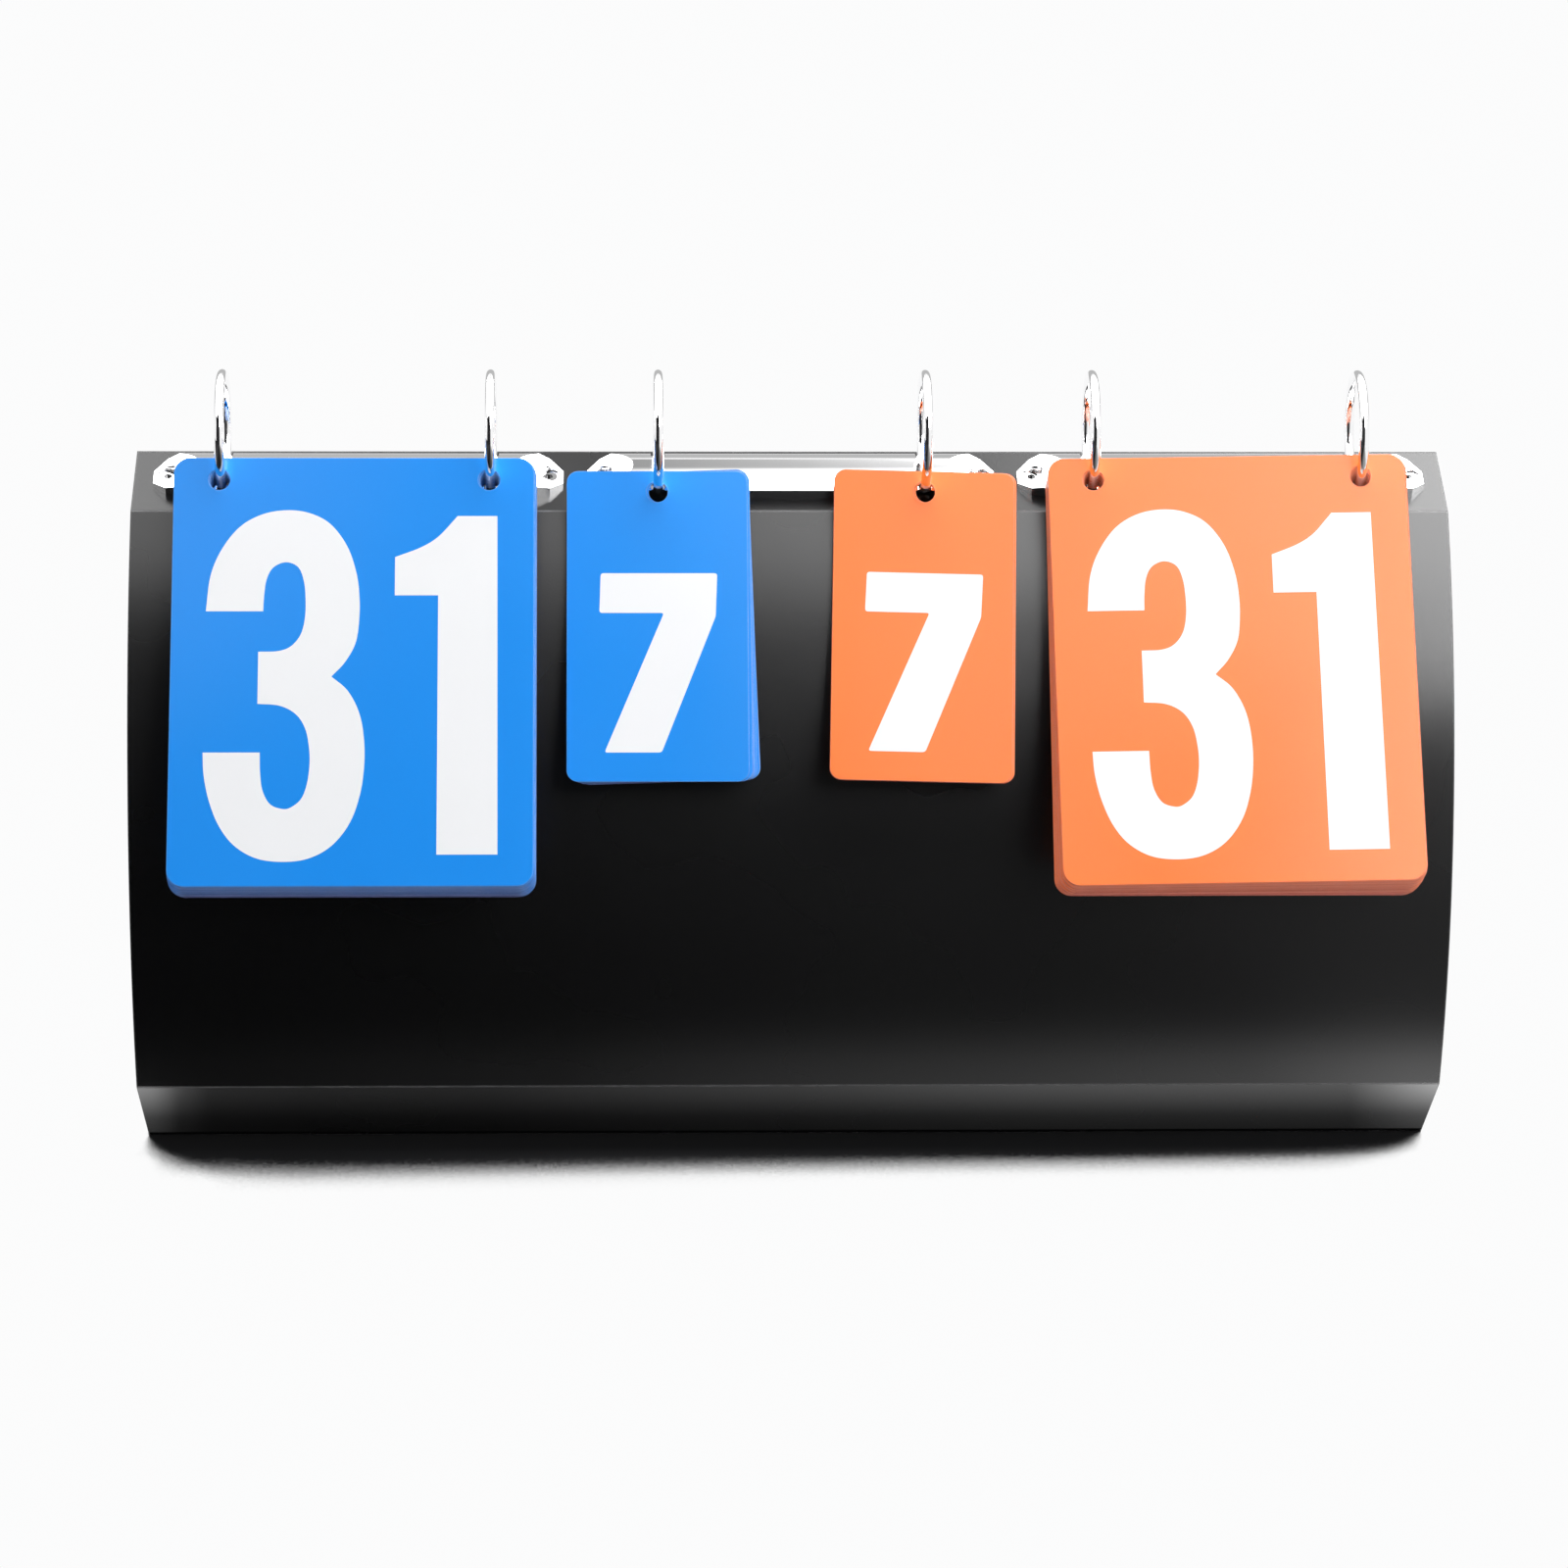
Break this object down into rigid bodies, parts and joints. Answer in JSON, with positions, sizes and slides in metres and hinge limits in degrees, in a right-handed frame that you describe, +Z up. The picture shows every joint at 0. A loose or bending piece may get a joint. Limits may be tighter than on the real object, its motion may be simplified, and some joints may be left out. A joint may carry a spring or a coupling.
{
  "type": "tabletop flip scoreboard",
  "caption": "Tabletop flip scoreboard: black creased-plastic stand with binder rings that carry flip-over number cards for points and sets in two team colours.",
  "frame": {"origin": "middle of the base flap's underside, on the table", "axes": "+X to the right along the stand's width, +Y to the rear, +Z up; the number cards face -Y"},
  "size_m": [0.395, 0.1469, 0.2352],
  "materials": {
    "black_sheet": "satin black polypropylene sheet",
    "chrome_steel": "bright nickel plate",
    "blue_card": "satin printed plastic card",
    "orange_card": "satin printed plastic card",
    "hook_tape": "hook side of closure tape",
    "loop_tape": "loop side of closure tape"
  },
  "bodies": {
    "stand": {"front_panel": "black_sheet", "spine_panel": "black_sheet", "left_ring_cover": "chrome_steel", "middle_ring_cover": "chrome_steel", "right_ring_cover": "chrome_steel", "left_rivets": "chrome_steel", "middle_rivets": "chrome_steel", "right_rivets": "chrome_steel"},
    "bevel": {"lower_bevel": "black_sheet"},
    "base": {"base_flap": "black_sheet", "closing_lip": "black_sheet", "hook_pads": "hook_tape"},
    "back": {"back_panel": "black_sheet", "loop_pads": "loop_tape"},
    "left_front": {"left_front_blade": "chrome_steel", "left_front_rings": "chrome_steel"},
    "left_rear": {"left_rear_blade": "chrome_steel", "left_rear_rings": "chrome_steel"},
    "middle_front": {"middle_front_blade": "chrome_steel", "middle_front_rings": "chrome_steel"},
    "middle_rear": {"middle_rear_blade": "chrome_steel", "middle_rear_rings": "chrome_steel"},
    "right_front": {"right_front_blade": "chrome_steel", "right_front_rings": "chrome_steel"},
    "right_rear": {"right_rear_blade": "chrome_steel", "right_rear_rings": "chrome_steel"},
    "blue_points_stack": {"blue_points_cards": "blue_card"},
    "blue_points_top": {"blue_points_top_card": "blue_card"},
    "blue_sets_stack": {"blue_sets_cards": "blue_card"},
    "blue_sets_top": {"blue_sets_top_card": "blue_card"},
    "orange_points_stack": {"orange_points_cards": "orange_card"},
    "orange_points_top": {"orange_points_top_card": "orange_card"},
    "orange_sets_stack": {"orange_sets_cards": "orange_card"},
    "orange_sets_top": {"orange_sets_top_card": "orange_card"}
  },
  "joints": [
    {"name": "lower_crease", "type": "hinge", "parent": "stand", "child": "bevel", "pos_m": [0, -0.06581, 0.02566], "axis": [-1, 0, 0], "range_deg": [0, 27]},
    {"name": "front_crease", "type": "hinge", "parent": "bevel", "child": "base", "pos_m": [0, -0.0435, 0], "axis": [-1, 0, 0], "range_deg": [0, 48]},
    {"name": "rear_crease", "type": "hinge", "parent": "stand", "child": "back", "pos_m": [0, 0.00647, 0.20416], "axis": [1, 0, 0], "range_deg": [0, 97]},
    {"name": "left_rings_open", "type": "hinge", "parent": "stand", "child": "left_front", "pos_m": [0, -0.0168, 0.19901], "axis": [1, 0, 0], "range_deg": [0, 6]},
    {"name": "left_rear_rings_open", "type": "hinge", "parent": "stand", "child": "left_rear", "pos_m": [0, -0.00078, 0.20438], "axis": [-1, 0, 0], "range_deg": [0, 6]},
    {"name": "middle_rings_open", "type": "hinge", "parent": "stand", "child": "middle_front", "pos_m": [0, -0.0168, 0.19901], "axis": [1, 0, 0], "range_deg": [0, 6]},
    {"name": "middle_rear_rings_open", "type": "hinge", "parent": "stand", "child": "middle_rear", "pos_m": [0, -0.00078, 0.20438], "axis": [-1, 0, 0], "range_deg": [0, 6]},
    {"name": "right_rings_open", "type": "hinge", "parent": "stand", "child": "right_front", "pos_m": [0, -0.0168, 0.19901], "axis": [1, 0, 0], "range_deg": [0, 6]},
    {"name": "right_rear_rings_open", "type": "hinge", "parent": "stand", "child": "right_rear", "pos_m": [0, -0.00078, 0.20438], "axis": [-1, 0, 0], "range_deg": [0, 6]},
    {"name": "blue_points_stack_flip", "type": "hinge", "parent": "stand", "child": "blue_points_stack", "pos_m": [0, -0.0138, 0.21668], "axis": [1, 0, 0], "range_deg": [-214, 0]},
    {"name": "blue_points_card_flip", "type": "hinge", "parent": "blue_points_stack", "child": "blue_points_top", "pos_m": [0, -0.0138, 0.21668], "axis": [-1, 0, 0], "range_deg": [0, 214]},
    {"name": "blue_sets_stack_flip", "type": "hinge", "parent": "stand", "child": "blue_sets_stack", "pos_m": [0, -0.0138, 0.21668], "axis": [1, 0, 0], "range_deg": [-214, 0]},
    {"name": "blue_sets_card_flip", "type": "hinge", "parent": "blue_sets_stack", "child": "blue_sets_top", "pos_m": [0, -0.0138, 0.21668], "axis": [-1, 0, 0], "range_deg": [0, 214]},
    {"name": "orange_points_stack_flip", "type": "hinge", "parent": "stand", "child": "orange_points_stack", "pos_m": [0, -0.0138, 0.21668], "axis": [1, 0, 0], "range_deg": [-214, 0]},
    {"name": "orange_points_card_flip", "type": "hinge", "parent": "orange_points_stack", "child": "orange_points_top", "pos_m": [0, -0.0138, 0.21668], "axis": [-1, 0, 0], "range_deg": [0, 214]},
    {"name": "orange_sets_stack_flip", "type": "hinge", "parent": "stand", "child": "orange_sets_stack", "pos_m": [0, -0.0138, 0.21668], "axis": [1, 0, 0], "range_deg": [-214, 0]},
    {"name": "orange_sets_card_flip", "type": "hinge", "parent": "orange_sets_stack", "child": "orange_sets_top", "pos_m": [0, -0.0138, 0.21668], "axis": [-1, 0, 0], "range_deg": [0, 214]}
  ],
  "couplings": [
    {"joint": "left_rear_rings_open", "follows": "left_rings_open", "ratio": 1},
    {"joint": "middle_rear_rings_open", "follows": "middle_rings_open", "ratio": 1},
    {"joint": "right_rear_rings_open", "follows": "right_rings_open", "ratio": 1}
  ]
}
